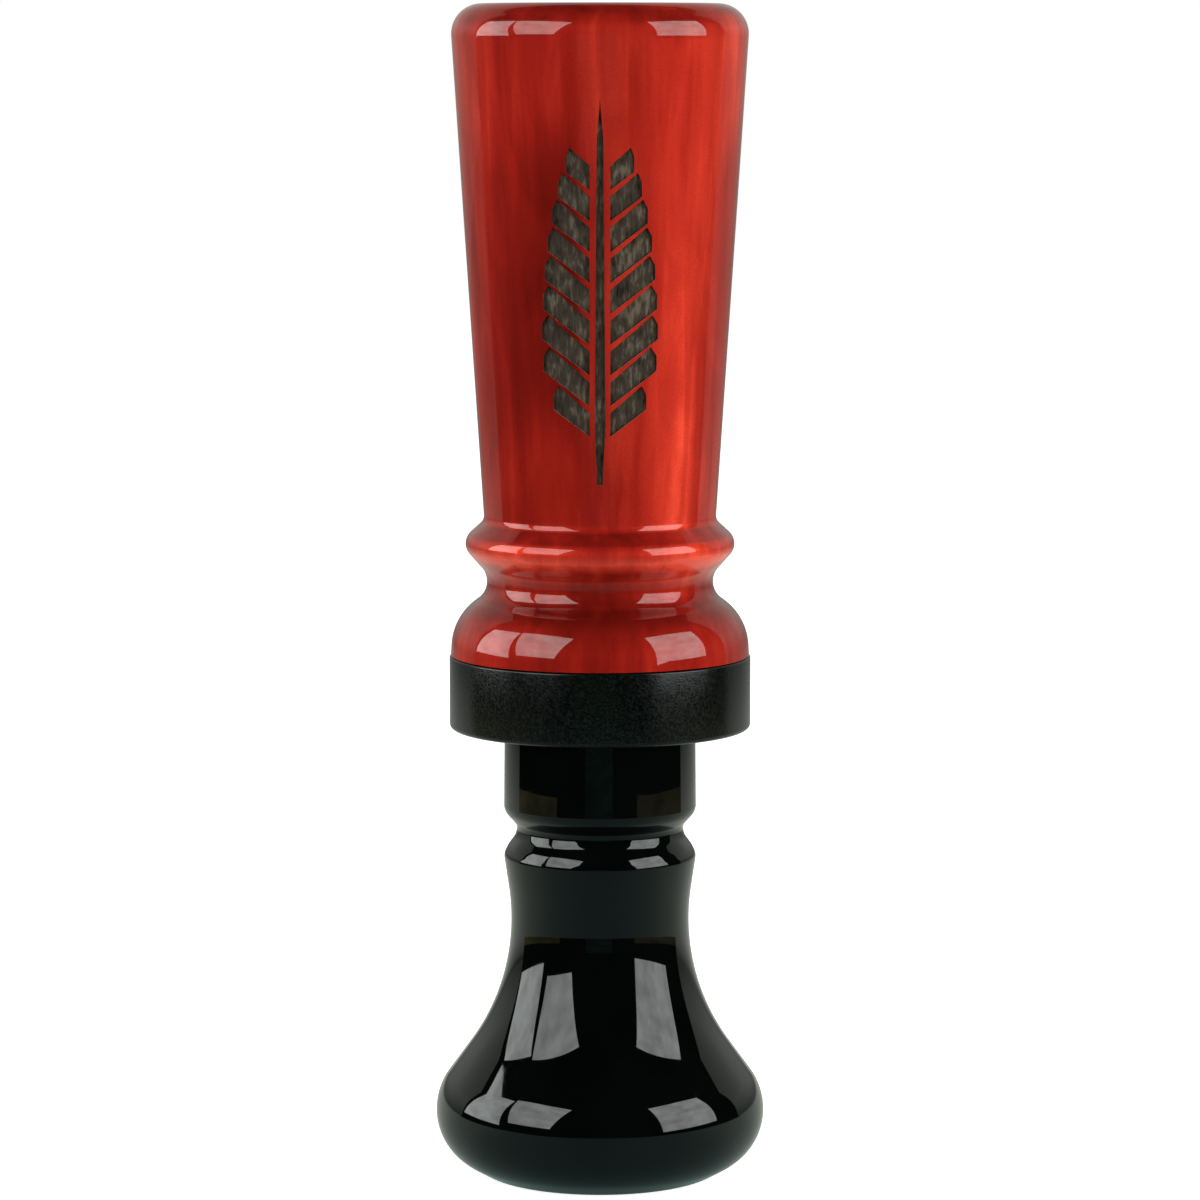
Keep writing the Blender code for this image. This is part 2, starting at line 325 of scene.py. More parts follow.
def smooth(mesh):
    mesh.shade_smooth()
    mesh.set_sharp_from_angle(angle=SHARP_ANGLE)


def add_piece(name, bm, look, body, slot, *nodes):
    """A shown piece that rides on a body, if one is given, and stands for CAD nodes."""
    piece = solid_object(name, bm)
    piece.data.materials.append(look)
    smooth(piece.data)
    if body:
        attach(piece, body)
    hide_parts(*nodes)
    return piece


def apply_modifiers(piece):
    """Keeps the evaluated mesh and drops the modifiers."""
    graph = bpy.context.evaluated_depsgraph_get()
    made = bpy.data.meshes.new_from_object(piece.evaluated_get(graph))
    piece.modifiers.clear()
    piece.data = made


def cut(piece, cutter):
    modifier = piece.modifiers.new("cut", "BOOLEAN")
    modifier.operation = "DIFFERENCE"
    modifier.object = cutter
    apply_modifiers(piece)
    bpy.data.objects.remove(cutter)


def fillet_arc(before, corner, after, radius, steps=None):
    """Points of the arc that rounds a corner between two straight sides."""
    if radius == 0:
        return [corner] * ((steps or 0) + 1)
    back = (before - corner).normalized()
    ahead = (after - corner).normalized()
    half = back.angle(ahead) / 2
    centre = corner + (back + ahead).normalized() * radius / math.sin(half)
    start = corner + back * radius / math.tan(half) - centre
    end = corner + ahead * radius / math.tan(half) - centre
    turn = math.copysign(math.pi - 2 * half, start.cross(end))
    widest_step = 2 * math.acos(1 - ARC_TOLERANCE / radius)
    steps = steps or max(3, math.ceil(abs(turn) / widest_step))
    return [centre + Matrix.Rotation(turn * i / steps, 2) @ start for i in range(steps + 1)]


def rounded_loop(corners):
    """Points of a closed outline of (radius, height, fillet) corners."""
    points = []
    for i, (x, z, fillet) in enumerate(corners):
        before = Vector(corners[i - 1][:2])
        after = Vector(corners[(i + 1) % len(corners)][:2])
        points += fillet_arc(before, Vector((x, z)), after, fillet)
    return points


def raised(corners, height):
    return [(x, z + height, fillet) for x, z, fillet in corners]


def turned(points, steps=TURN_STEPS):
    """The ring that a closed outline of (radius, height) points sweeps round the Z axis."""
    bm = bmesh.new()
    loop = [bm.verts.new((x, 0, z)) for x, z in points]
    edges = [bm.edges.new((loop[i - 1], loop[i])) for i in range(len(loop))]
    bmesh.ops.spin(
        bm,
        geom=loop + edges,
        axis=(0, 0, 1),
        cent=(0, 0, 0),
        angle=math.tau,
        steps=steps,
        use_merge=True,
    )
    return bm


def lofted(sections):
    """A closed solid through (height, outline) sections of equally many points."""
    bm = bmesh.new()
    rings = [[bm.verts.new((x, y, z)) for x, y in outline] for z, outline in sections]
    for lower, upper in zip(rings, rings[1:]):
        for i in range(len(lower)):
            bm.faces.new((lower[i - 1], lower[i], upper[i], upper[i - 1]))
    bm.faces.new(reversed(rings[0]))
    bm.faces.new(rings[-1])
    bmesh.ops.remove_doubles(bm, verts=bm.verts, dist=MERGE_DISTANCE)
    bmesh.ops.dissolve_degenerate(bm, edges=bm.edges, dist=MERGE_DISTANCE)
    return bm


def extruded(outlines, start_y, depth):
    """Closed prisms along +Y from (x, z) outlines."""
    bm = bmesh.new()
    for outline in outlines:
        face = bm.faces.new([bm.verts.new((x, start_y, z)) for x, z in outline])
        grown = bmesh.ops.extrude_face_region(bm, geom=[face])
        moved = [item for item in grown["geom"] if isinstance(item, bmesh.types.BMVert)]
        bmesh.ops.translate(bm, verts=moved, vec=(0, depth, 0))
    return bm


# ---------------------------------------------------------------- material helpers


class Look:
    """A material in the making: a Principled shader and the coordinates its textures hang on."""

    def __init__(self, name, **values):
        self.material = bpy.data.materials.new(name)
        self.material.use_nodes = True
        self.tree = self.material.node_tree
        self.shader = self.tree.nodes["Principled BSDF"]
        coordinates = self.tree.nodes.new("ShaderNodeTexCoord").outputs
        self.place = coordinates["Object"]
        self.facing = coordinates["Normal"]
        for key, value in values.items():
            self.shader.inputs[key.replace("_", " ")].default_value = value

    def node(self, kind, settings=None, **inputs):
        """A node whose inputs are set to values or linked from sockets; i0 is its first input."""
        made = self.tree.nodes.new(kind)
        for key, value in (settings or {}).items():
            setattr(made, key, value)
        for key, value in inputs.items():
            by_place = key[0] == "i" and key[1:].isdigit()
            socket = made.inputs[int(key[1:]) if by_place else key]
            if isinstance(value, bpy.types.NodeSocket):
                self.tree.links.new(value, socket)
            else:
                socket.default_value = value
        return made

    def stretched(self, x, y, z):
        return self.node("ShaderNodeMapping", Vector=self.place, Scale=(x, y, z)).outputs[0]

    def part(self, vector, axis):
        """One coordinate of a vector."""
        return self.node("ShaderNodeSeparateXYZ", Vector=vector).outputs[axis]

    def noise(self, scale, detail=3.0, place=None, **inputs):
        inputs.update(Vector=place or self.place, Scale=scale, Detail=detail)
        return self.node("ShaderNodeTexNoise", **inputs).outputs["Fac"]

    def ramp(self, factor, stops, smoothly=True):
        """A colour or grey ramp from (place, colour) stops."""
        made = self.node("ShaderNodeValToRGB", Fac=factor)
        ramp = made.color_ramp
        ramp.interpolation = "EASE" if smoothly else "LINEAR"
        while len(ramp.elements) < len(stops):
            ramp.elements.new(0.5)
        for element, (place, colour) in zip(ramp.elements, stops):
            element.position = place
            element.color = (*colour, 1) if isinstance(colour, tuple) else (colour, colour, colour, 1)
        return made.outputs["Color"]

    def mix(self, factor, first, second):
        made = self.node("ShaderNodeMix", {"data_type": "RGBA"}, i0=factor, i6=first, i7=second)
        return made.outputs[2]

    def math(self, operation, *values):
        inputs = {f"i{i}": value for i, value in enumerate(values)}
        return self.node("ShaderNodeMath", {"operation": operation}, **inputs).outputs[0]

    def bump(self, height, strength, distance):
        made = self.node("ShaderNodeBump", Height=height, Strength=strength, Distance=distance)
        return made.outputs["Normal"]

    def set(self, **inputs):
        for key, value in inputs.items():
            self.tree.links.new(value, self.shader.inputs[key.replace("_", " ")])
        return self.material


def azimuth(look):
    """0 to 1 round the Z axis, 0.5 at the front (-Y), rising towards +X."""
    ahead = look.math("MULTIPLY", look.part(look.place, "Y"), -1.0)
    angle = look.math("ARCTAN2", look.part(look.place, "X"), ahead)
    return look.math("MULTIPLY_ADD", angle, 1 / math.tau, 0.5)


def around(look, turn, levels):
    """A grey that follows (azimuth in degrees, level) stops round the Z axis."""
    return look.ramp(turn, [(0.5 + degrees / 360, level) for degrees, level in levels])


def pearl_red():
    """Red acrylic with pearl stirred through it in long bands, under a clear polish; its level also holds
    painted highlights and painted shade.
    """
    polish = {"Coat_Weight": 1.0, "Coat_Roughness": 0.012, "Coat_IOR": 1.49}
    look = Look("pearl_red", Roughness=0.44, Metallic=0.35, Specular_IOR_Level=0.0, **polish)
    height = look.part(look.place, "Z")
    drift = look.noise(60, 2.0, look.stretched(1, 1, 0.4))
    sway = look.math("MULTIPLY_ADD", drift, PEARL_SWAY, -PEARL_SWAY / 2)
    turn = look.math("ADD", azimuth(look), sway)
    # The pearl's bands together with painted highlights of the softboxes and painted shade, round and up
    # the barrel
    pearl_and_painted_light = around(look, turn, PEARL_AND_PAINTED_LIGHT_BANDS[0][1])
    for (low, high), levels in PEARL_AND_PAINTED_LIGHT_BANDS[1:]:
        share = look.node("ShaderNodeMapRange", {"interpolation_type": "SMOOTHSTEP"}, Value=height)
        share.inputs["From Min"].default_value = low
        share.inputs["From Max"].default_value = high
        pearl_and_painted_light = look.mix(share.outputs["Result"], pearl_and_painted_light, around(look, turn, levels))
    streaks = look.noise(520, 4.0, look.stretched(1, 1, 0.05), Distortion=0.5)
    wisps = look.ramp(streaks, [(0.30, 0.80), (0.50, 1.0), (0.70, 1.24)])
    billows = look.noise(150, 3.0, look.stretched(1, 1, 0.35), Distortion=1.2)
    clouds = look.ramp(billows, [(0.3, 0.86), (0.7, 1.14)])
    grain = look.ramp(look.noise(6000, 2.0), [(0.3, 0.93), (0.7, 1.07)])
    # Painted light and shade by which way the surface faces
    facing_up = look.math("MULTIPLY_ADD", look.part(look.facing, "Z"), 0.5, 0.5)
    level = pearl_and_painted_light
    for factor in (wisps, clouds, grain, look.ramp(facing_up, PAINTED_LIGHT_BY_FACING)):
        level = look.math("MULTIPLY", level, factor)
    colour = look.ramp(
        level,
        [
            (0.0, (0.0, 0.0, 0.0)),
            (0.30, (0.30, 0.0120, 0.0070)),
            (0.62, (0.62, 0.0380, 0.0190)),
            (1.0, (1.00, 0.0900, 0.0450)),
        ],
        smoothly=False,
    )
    return look.set(Base_Color=colour)


def engraved_grey():
    """The rough floor and walls of the laser engraving."""
    look = Look("engraved_grey", Roughness=0.85, Specular_IOR_Level=0.25)
    burn = look.noise(2600, 4.0, look.stretched(1, 1, 0.28), Distortion=0.4)
    blotch = look.noise(420, 2.0)
    level = look.math("MULTIPLY_ADD", blotch, 0.40, look.math("MULTIPLY", burn, 0.65))
    floor = look.ramp(
        level,
        [
            (0.32, (0.003, 0.0025, 0.002)),
            (0.50, (0.030, 0.022, 0.015)),
            (0.72, (0.108, 0.083, 0.058)),
        ],
    )
    outward = look.math("ABSOLUTE", look.part(look.facing, "Y"))
    wall = look.ramp(outward, [(0.35, 0.8), (0.75, 0.0)])
    colour = look.mix(wall, floor, ENGRAVED_RIM)
    return look.set(Base_Color=colour, Normal=look.bump(burn, 0.9, 0.00012))


def gloss_black():
    """Polished black acrylic with the faintest waviness left by buffing."""
    look = Look("gloss_black", IOR=1.49)
    roughness = look.ramp(look.noise(900, 4.0), [(0.35, 0.012), (0.70, 0.045)])
    deep, pale = (0.0004, 0.0007, 0.0006), (0.0010, 0.0015, 0.0013)
    tint = look.ramp(look.noise(160, 3.0), [(0.3, deep), (0.7, pale)])
    waves = look.bump(look.noise(260, 1.0), 0.05, 0.0001)
    return look.set(Base_Color=tint, Roughness=roughness, Normal=waves)


def satin_band():
    """Black anodised aluminium, bead-blasted to a fine grain."""
    look = Look("satin_band", IOR=1.45)
    grain = look.noise(4600, 3.0)
    colour = look.ramp(grain, [(0.40, (0.0001, 0.0003, 0.0002)), (0.70, (0.0052, 0.0070, 0.0054))])
    roughness = look.ramp(look.noise(3100, 2.0), [(0.3, 0.16), (0.7, 0.25)])
    return look.set(Base_Color=colour, Roughness=roughness, Normal=look.bump(grain, 0.25, 0.00005))


def smoke_plastic():
    """Machined smoke-grey polycarbonate, with cutter lines along its length."""
    look = Look("smoke_plastic", Roughness=0.2, IOR=1.58)
    lines = look.noise(2600, 2.0, look.stretched(1, 1, 0.02))
    colour = look.ramp(look.noise(240, 3.0), [(0.3, (0.030, 0.031, 0.034)), (0.7, (0.055, 0.056, 0.060))])
    roughness = look.ramp(lines, [(0.3, 0.14), (0.7, 0.30)])
    return look.set(Base_Color=colour, Roughness=roughness, Normal=look.bump(lines, 0.15, 0.00004))


def frosted_film():
    """Frosted polyester film."""
    look = Look("frosted_film", Roughness=0.38, IOR=1.6)
    frost = look.noise(3600, 3.0)
    colour = look.ramp(frost, [(0.3, (0.46, 0.48, 0.46)), (0.7, (0.64, 0.65, 0.63))])
    roughness = look.ramp(frost, [(0.3, 0.30), (0.7, 0.48)])
    return look.set(Base_Color=colour, Roughness=roughness, Normal=look.bump(frost, 0.12, 0.00002))


def ground_cork():
    """Pressed cork: pale cells, brown grains and dark pits."""
    look = Look("ground_cork", Roughness=0.9)
    cells = look.node("ShaderNodeTexVoronoi", Vector=look.place, Scale=1500.0)
    grains = look.noise(1100, 5.0, Distortion=0.5)
    shade = look.math("MULTIPLY_ADD", cells.outputs["Distance"], 0.25, look.math("MULTIPLY", grains, 0.8))
    colour = look.ramp(
        shade,
        [
            (0.28, (0.085, 0.040, 0.018)),
            (0.42, (0.36, 0.20, 0.095)),
            (0.62, (0.50, 0.31, 0.16)),
            (0.82, (0.62, 0.42, 0.24)),
        ],
    )
    return look.set(Base_Color=colour, Normal=look.bump(shade, 0.7, 0.00015))


def seal_rubber():
    """Black nitrile with a trace of talc."""
    look = Look("seal_rubber", Roughness=0.5, IOR=1.52)
    dust = look.noise(2400, 4.0)
    colour = look.ramp(dust, [(0.45, (0.008, 0.008, 0.008)), (0.75, (0.035, 0.034, 0.033))])
    roughness = look.ramp(dust, [(0.3, 0.42), (0.7, 0.66)])
    return look.set(Base_Color=colour, Roughness=roughness, Normal=look.bump(dust, 0.2, 0.00003))


# ---------------------------------------------------------------- turned pieces


def feather_outlines():
    """(x, z) outlines of the quill and the barbs, mirror images left and right."""
    foot = BARREL_FOOT + FEATHER_FOOT
    top = BARREL_FOOT + FEATHER_TOP
    quill = [
        (-QUILL_HALF_WIDTH * 0.5, foot),
        (QUILL_HALF_WIDTH * 0.5, foot),
        (QUILL_HALF_WIDTH, foot + QUILL_SWELL),
        (QUILL_HALF_WIDTH * 0.6, top - QUILL_POINT),
        (0, top),
        (-QUILL_HALF_WIDTH * 0.6, top - QUILL_POINT),
        (-QUILL_HALF_WIDTH, foot + QUILL_SWELL),
    ]
    outlines = [quill]
    inner = QUILL_HALF_WIDTH + BARB_GAP
    first = foot + BARBS_START
    pitch = (top - BARBS_STOP - first) / BARB_COUNT
    for i in range(BARB_COUNT):
        along = (i + 0.5) / BARB_COUNT
        reach = FEATHER_HALF_WIDTH * (1 - 0.50 * along**3) * min(1, 0.70 + 1.6 * along)
        low = first + pitch * i
        rise = BARB_RISE * (reach - inner)
        barb = [
            (inner, low),
            (reach, low + rise),
            (reach, low + rise + BARB_THICKNESS * BARB_CHAMFER[1]),
            (reach * BARB_CHAMFER[0], low + rise + BARB_THICKNESS),
            (inner, low + BARB_THICKNESS),
        ]
        outlines.append(barb)
        outlines.append([(-x, z) for x, z in reversed(barb)])
    return outlines


def cone_radius(height):
    """The barrel's outside radius at a height above its foot, along the straight cone."""
    share = (height - CONE_FOOT[1]) / (CONE_TOP[1] - CONE_FOOT[1])
    return CONE_FOOT[0] + share * (CONE_TOP[0] - CONE_FOOT[0])


def engraving_cutter():
    """The feather's prisms, less the cone that its floor follows."""
    low = FEATHER_FOOT - FEATHER_MARGIN
    high = FEATHER_TOP + FEATHER_MARGIN
    core = [
        (CORE_RADIUS, low, 0),
        (cone_radius(low) - ENGRAVING_DEPTH, low, 0),
        (cone_radius(high) - ENGRAVING_DEPTH, high, 0),
        (CORE_RADIUS, high, 0),
    ]
    prisms = solid_object("feather_prisms", extruded(feather_outlines(), PRISM_START, PRISM_DEPTH))
    cut(prisms, solid_object("feather_core", turned(rounded_loop(raised(core, BARREL_FOOT)))))
    return prisms


def keep_cone_shading(mesh):
    """Gives the engraved cone its true normals, whatever faces the cut has left."""
    tilt = math.atan2(CONE_TOP[0] - CONE_FOOT[0], CONE_TOP[1] - CONE_FOOT[1])
    low = BARREL_FOOT + FEATHER_FOOT - FEATHER_MARGIN
    normals = [Vector((0, 0, 0))] * len(mesh.loops)
    for face in mesh.polygons:
        highest = max(mesh.vertices[v].co.z for v in face.vertices)
        outer = Vector(face.center.xy).length > MOUTH_RADIUS
        if face.material_index == ENGRAVED or not outer or highest < low:
            continue
        if abs(face.normal.z + math.sin(tilt)) > SLOPE_TOLERANCE:
            continue
        for loop in face.loop_indices:
            spot = mesh.vertices[mesh.loops[loop].vertex_index].co
            out = Vector((spot.x, spot.y, 0)).normalized() * math.cos(tilt)
            normals[loop] = Vector((out.x, out.y, -math.sin(tilt)))
    mesh.normals_split_custom_set(normals)


def make_barrel():
    outline = rounded_loop(raised(BARREL_OUTSIDE + BARREL_INSIDE, BARREL_FOOT))
    solid = turned(outline)
    piece = add_piece("barrel_body", solid, pearl_red(), "barrel", "barrel_acrylic", "barrel")
    grey = engraved_grey()
    piece.data.materials.append(grey)
    cutter = engraving_cutter()
    cutter.data.materials.clear()
    cutter.data.materials.append(None)
    cutter.data.materials.append(grey)
    for face in cutter.data.polygons:
        face.material_index = ENGRAVED
    cut(piece, cutter)
    smooth(piece.data)
    keep_cone_shading(piece.data)


def make_band():
    inside = SPIGOT_RADIUS + FACE_GAP
    corners = [
        (inside, BAND_LENGTH - FACE_GAP, 0),
        (BAND_RADIUS, BAND_LENGTH - FACE_GAP, BAND_TOP_EDGE),
        (BAND_RADIUS, 0, BAND_FOOT_EDGE),
        (inside, 0, BAND_INNER_EDGE),
    ]
    outline = rounded_loop(raised(corners, BAND_LOW.z))
    add_piece("barrel_band", turned(outline), satin_band(), "barrel", "band_metal", "band")


def make_insert():
    tenon = [(SEAT_RADIUS, TENON_TOP, SEAT_EDGE), (TENON_RADIUS, TENON_TOP, TENON_EDGE)]
    for low, high in sorted(RING_BOXES.values(), key=lambda box: -box[0].z):
        middle = (low.z + high.z) / 2
        tenon += [
            (TENON_RADIUS, middle + GROOVE_HALF_WIDTH, GROOVE_LIP),
            (GROOVE_RADIUS, middle + GROOVE_HALF_WIDTH, GROOVE_CORNER),
            (GROOVE_RADIUS, middle - GROOVE_HALF_WIDTH, GROOVE_CORNER),
            (TENON_RADIUS, middle - GROOVE_HALF_WIDTH, GROOVE_LIP),
        ]
    tenon.append((TENON_RADIUS, SHOULDER_HEIGHT, TENON_CORNER))
    inside = [
        (EXHAUST_RADIUS, EXHAUST_FLARE_HEIGHT, EXHAUST_FLARE_FILLET),
        (EXHAUST_RADIUS, SEAT_LEDGE, 0),
        (SEAT_RADIUS, SEAT_LEDGE, 0),
    ]
    outline = rounded_loop(tenon + INSERT_OUTSIDE + inside)
    solid = turned(outline)
    add_piece("insert_body", solid, gloss_black(), "insert", "insert_acrylic", "insert")


def make_o_rings():
    """Rings whose round section passes through the corners of the CAD's."""
    rubber = seal_rubber()
    turns = [math.tau * i / RING_SIDES for i in range(RING_SIDES)]
    for name, (low, high) in RING_BOXES.items():
        section = (high.z - low.z) / 2 / math.cos(math.pi / CAD_RING_SIDES)
        middle = high.x - (high.z - low.z) / 2
        centre = (low.z + high.z) / 2
        outline = [(middle + section * math.cos(t), centre + section * math.sin(t)) for t in turns]
        ring = turned(outline, RING_TURN_STEPS)
        add_piece(name + "_seal", ring, rubber, "o_rings", "seal_rubber", name)


# ---------------------------------------------------------------- sound parts


def face_setback(height):
    """How far the toneboard's face curves away from the reed at this height."""
    share = max(0, height - FACE_CURVE_START) / (TONEBOARD_LENGTH - FACE_CURVE_START)
    return TIP_OPENING * share**2


def channel_depth(height):
    """Depth of the sound channel's floor from the toneboard's flat face."""
    for (low, deep), (high, shallow) in zip(CHANNEL_FLOOR, CHANNEL_FLOOR[1:]):
        if height <= high:
            return deep + (shallow - deep) * (height - low) / (high - low)
    return CHANNEL_FLOOR[-1][1]


def toneboard_stations():
    """(height, radius of the back) along the toneboard, whose tip closes in on an ellipse."""
    straight = TONEBOARD_LENGTH - TIP_ROUNDING
    count = round(straight / STATION_SPACING)
    stations = [(0, TONEBOARD_RADIUS - TONEBOARD_EDGE)]
    stations += [(max(TONEBOARD_EDGE, straight * i / count), TONEBOARD_RADIUS) for i in range(count + 1)]
    for i in range(1, TIP_STEPS + 1):
        turn = math.pi / 2 * i / TIP_STEPS
        shrunk = TONEBOARD_RADIUS * (1 - TIP_TAPER * (1 - math.cos(turn)))
        stations.append((straight + TIP_ROUNDING * math.sin(turn), shrunk))
    return stations


def toneboard_section(height, radius):
    """The outline of the half-round board with its channel, corners eased."""
    face = face_setback(height)
    floor = max(face, channel_depth(height))
    start = math.asin(face / radius) + EDGE_TURN
    turns = [start + (math.pi - 2 * start) * i / BACK_STEPS for i in range(BACK_STEPS + 1)]
    back = [Vector((radius * math.cos(turn), radius * math.sin(turn))) for turn in turns]
    edge = math.sqrt(radius**2 - face**2)
    half = CHANNEL_HALF_WIDTH
    eased = min(TONEBOARD_EDGE, 0.4 * (floor - face))
    corners = [
        (Vector((-edge, face)), TONEBOARD_EDGE),
        (Vector((-half, face)), eased),
        (Vector((-half, floor)), eased),
        (Vector((half, floor)), eased),
        (Vector((half, face)), eased),
        (Vector((edge, face)), TONEBOARD_EDGE),
    ]
    places = [back[-1]] + [corner for corner, _ in corners] + [back[0]]
    outline = back
    for i, (corner, fillet) in enumerate(corners):
        outline = outline + fillet_arc(places[i], corner, places[i + 2], fillet, EDGE_STEPS)
    return [(point.x, point.y) for point in outline]


def make_toneboard():
    foot = TONEBOARD_LOW.z
    sections = [(foot + z, toneboard_section(z, radius)) for z, radius in toneboard_stations()]
    solid = lofted(sections)
    add_piece("tone_board", solid, smoke_plastic(), "toneboard", "toneboard_plastic", "toneboard")


def reed_half_width(from_foot, from_tip):
    """Half the reed's width: its foot's corners are rounded and its tip's cut off."""
    rounding = max(0, REED_FOOT_CORNER - from_foot)
    lost_at_foot = REED_FOOT_CORNER - math.sqrt(REED_FOOT_CORNER**2 - rounding**2)
    lost_at_tip = max(0, REED_TIP_CORNER - from_tip)
    return REED_HALF_WIDTH - lost_at_foot - lost_at_tip


def make_reed():
    low, high = REED_LOW.z, REED_HIGH.z
    middle = (REED_LOW.y + REED_HIGH.y) / 2
    half_thickness = REED_THICKNESS / 2
    count = round((high - low) / REED_SPACING)
    ends = [REED_FOOT_CORNER * share for share in (0, 0.1, 0.3, 0.6, 1.0)]
    heights = [low + rise for rise in ends]
    heights += [low + (high - low) * i / count for i in range(1, count)]
    heights += [high - REED_TIP_CORNER, high]
    sections = []
    for z in sorted(heights):
        half = reed_half_width(z - low, high - z)
        corners = [Vector((half, -half_thickness)), Vector((half, half_thickness))]
        corners += [Vector((-half, half_thickness)), Vector((-half, -half_thickness))]
        outline = []
        for i, corner in enumerate(corners):
            outline += fillet_arc(corners[i - 1], corner, corners[(i + 1) % 4], REED_EDGE, EDGE_STEPS)
        sections.append((z, [(point.x, point.y + middle) for point in outline]))
    piece = add_piece("reed_strip", lofted(sections), frosted_film(), None, "reed_film", "reed")
    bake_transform(piece)


def pit_depth(place):
    """How deep the cork's surface lies here under its outline, as a share of the deepest pit."""
    broad = noise.noise(place * CORK_BROAD_PITS)
    fine = noise.noise(place * CORK_FINE_PITS + Vector((7, 3, 5)))
    pits = max(0, broad * 0.7 + fine * 0.6 - 0.12)
    return 0.03 + min(1, pits * 2.4)


def make_wedge():
    """Cork: the plain half-round, rounded by voxels and pitted."""
    start = math.asin(WEDGE_FACE / WEDGE_RADIUS)
    turns = [start + (math.pi - 2 * start) * i / WEDGE_STEPS for i in range(WEDGE_STEPS + 1)]
    outline = [(-WEDGE_RADIUS * math.cos(turn), -WEDGE_RADIUS * math.sin(turn)) for turn in turns]
    bm = lofted([(WEDGE_LOW.z, outline), (WEDGE_HIGH.z, outline)])
    cut_away = bmesh.ops.bisect_plane(
        bm,
        geom=bm.verts[:] + bm.edges[:] + bm.faces[:],
        plane_co=(0, -WEDGE_FACE, WEDGE_HIGH.z),
        plane_no=(0, -math.sin(WEDGE_SLOPE), math.cos(WEDGE_SLOPE)),
        clear_outer=True,
    )
    rim = [item for item in cut_away["geom_cut"] if isinstance(item, bmesh.types.BMEdge)]
    bmesh.ops.contextual_create(bm, geom=rim)
    piece = add_piece("cork_wedge", bm, ground_cork(), "wedge", "wedge_cork", "wedge")
    voxels = piece.modifiers.new("voxels", "REMESH")
    voxels.mode = "VOXEL"
    voxels.voxel_size = CORK_VOXEL
    apply_modifiers(piece)
    normals = [vertex.normal.copy() for vertex in piece.data.vertices]
    for vertex, normal in zip(piece.data.vertices, normals):
        vertex.co -= normal * CORK_PIT_DEPTH * pit_depth(vertex.co)
    piece.data.shade_smooth()


# ---------------------------------------------------------------- studio


def add_camera():
    data = bpy.data.cameras.new("camera")
    data.lens = CAMERA_LENS_MM
    data.sensor_width = 36
    camera = bpy.data.objects.new("camera", data)
    camera.location = CAMERA_PLACE
    camera.rotation_euler = (math.pi / 2 - CAMERA_PITCH, 0, 0)
    bpy.context.collection.objects.link(camera)
    bpy.context.scene.camera = camera


def stage_object(name, bm, look, camera=False, glossy=False, diffuse=False):
    """A part of the studio, seen only by the camera, by gloss or by diffuse light."""
    mesh = bpy.data.meshes.new(name)
    bm.to_mesh(mesh)
    bm.free()
    mesh.materials.append(look)
    made = bpy.data.objects.new(name, mesh)
    bpy.context.collection.objects.link(made)
    made.visible_camera = camera
    made.visible_glossy = glossy
    made.visible_diffuse = diffuse
    made.visible_shadow = camera and diffuse
    made.visible_transmission = glossy
    return made


def glow(name, colour, strength, mottle=0.0):
    """An emission, even or mottled by this share of its strength."""
    made = bpy.data.materials.new(name)
    made.use_nodes = True
    tree = made.node_tree
    tree.nodes.clear()
    light = tree.nodes.new("ShaderNodeEmission")
    light.inputs["Color"].default_value = (*colour, 1)
    light.inputs["Strength"].default_value = strength
    if mottle:
        place = tree.nodes.new("ShaderNodeTexCoord")
        clouds = tree.nodes.new("ShaderNodeTexNoise")
        clouds.inputs["Scale"].default_value = MOTTLE_SCALE
        clouds.inputs["Detail"].default_value = 2.0
        share = tree.nodes.new("ShaderNodeMapRange")
        share.inputs["From Min"].default_value = 0.3
        share.inputs["From Max"].default_value = 0.7
        share.inputs["To Min"].default_value = strength * (1 - mottle)
        share.inputs["To Max"].default_value = strength * (1 + mottle)
        tree.links.new(place.outputs["Object"], clouds.inputs["Vector"])
        tree.links.new(clouds.outputs["Fac"], share.inputs["Value"])
        tree.links.new(share.outputs["Result"], light.inputs["Strength"])
    out = tree.nodes.new("ShaderNodeOutputMaterial")
    tree.links.new(light.outputs[0], out.inputs["Surface"])
    return made


def disc(radius, height):
    bm = bmesh.new()
    bmesh.ops.create_circle(bm, cap_ends=True, segments=96, radius=radius)
    bmesh.ops.translate(bm, verts=bm.verts, vec=(0, 0, height))
    return bm


def sweep(rows, from_azimuth, to_azimuth, steps):
    """A sheet round the Z axis through (radius, height) rows, between two azimuths from the front."""
    bm = bmesh.new()
    lines = []
    for radius, height in rows:
        line = []
        for i in range(steps + 1):
            turn = math.radians(from_azimuth + (to_azimuth - from_azimuth) * i / steps)
            line.append(bm.verts.new((radius * math.sin(turn), -radius * math.cos(turn), height)))
        lines.append(line)
    for lower, upper in zip(lines, lines[1:]):
        for i in range(steps):
            bm.faces.new((lower[i], lower[i + 1], upper[i + 1], upper[i]))
    return bm


def graded_glow(look, factor, stops):
    """Emission alone, in the colour that the (factor, colour) stops give."""
    look.shader.inputs["Base Color"].default_value = (0, 0, 0, 1)
    look.shader.inputs["Specular IOR Level"].default_value = 0
    look.shader.inputs["Emission Strength"].default_value = 1
    return look.set(Emission_Color=look.ramp(factor, stops, smoothly=False))


def length_from_axis(look):
    return look.node("ShaderNodeVectorMath", {"operation": "LENGTH"}, Vector=look.place).outputs["Value"]


def tinted(stops):
    return [(place, tuple(channel * strength for channel in PAPER_TINT)) for place, strength in stops]


